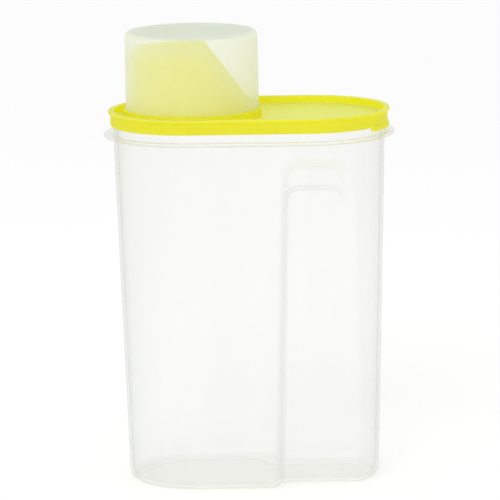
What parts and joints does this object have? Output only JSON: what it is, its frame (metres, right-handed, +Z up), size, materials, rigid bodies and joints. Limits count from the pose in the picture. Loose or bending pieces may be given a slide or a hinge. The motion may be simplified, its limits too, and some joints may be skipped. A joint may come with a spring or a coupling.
{
  "type": "food storage container",
  "caption": "Upright dry-food keeper: translucent tub with a hand grip, yellow press-fit lid with an oblique pour spout, and a measuring cup that caps the spout.",
  "frame": {"origin": "middle of the base, on the surface that the container stands on", "axes": "+Z up, X along the length with the pour spout at -X and the hand grip at +X, Y across the width"},
  "size_m": [0.168, 0.1008, 0.2628],
  "materials": {
    "natural_polypropylene": "translucent natural polypropylene, moulded, smooth",
    "yellow_polyethylene": "translucent yellow low-density polyethylene, moulded, satin",
    "frosted_polypropylene": "translucent natural polypropylene, moulded, lightly frosted"
  },
  "bodies": {
    "tub": {"container_body": "natural_polypropylene"},
    "lid": {"lid": "yellow_polyethylene"},
    "cup": {"measuring_cup": "frosted_polypropylene"}
  },
  "joints": [
    {"name": "lid_lift", "type": "slide", "parent": "tub", "child": "lid", "axis": [0, 0, 1], "range_m": [0, 0.05]},
    {"name": "cup_lift", "type": "slide", "parent": "lid", "child": "cup", "axis": [0, 0, 1], "range_m": [0, 0.06]}
  ]
}
